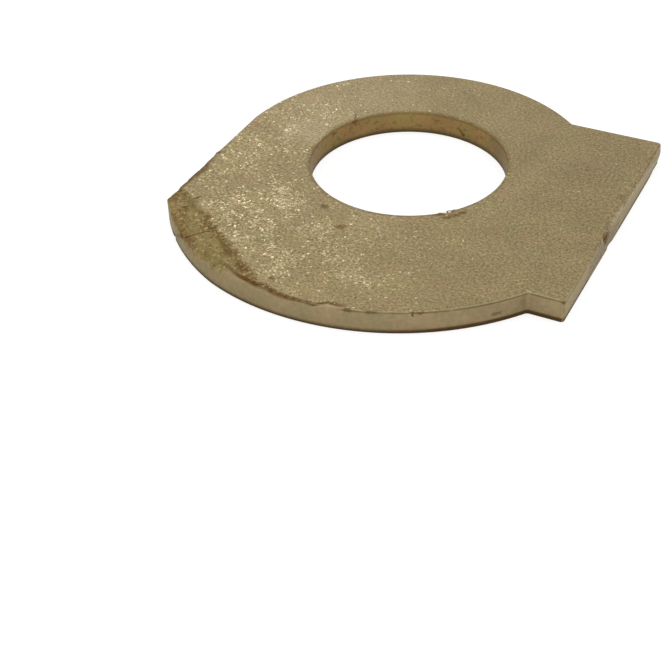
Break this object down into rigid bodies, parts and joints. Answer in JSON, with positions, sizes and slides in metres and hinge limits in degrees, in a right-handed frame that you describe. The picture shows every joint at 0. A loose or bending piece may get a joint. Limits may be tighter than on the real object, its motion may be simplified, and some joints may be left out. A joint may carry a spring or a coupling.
{
  "type": "lock washer",
  "caption": "Flat tab-type lock washer of pickled steel strip, with a round hole, a wide lobe to bend up against a nut and a square tab that keeps it from turning.",
  "frame": {"origin": "centre of the hole on the underside of the plate", "axes": "+Z along the hole, out of the face that the nut bears on; +X towards the end of the square tab; the wide lobe is on the -Y side"},
  "size_m": [0.0334, 0.0362, 0.002],
  "materials": {
    "steel": "khaki-tinted zinc plate over steel strip, crystalline and slightly rough, with brown stain at one corner"
  },
  "bodies": {
    "root": {"lock_washer": "steel"}
  },
  "joints": []
}
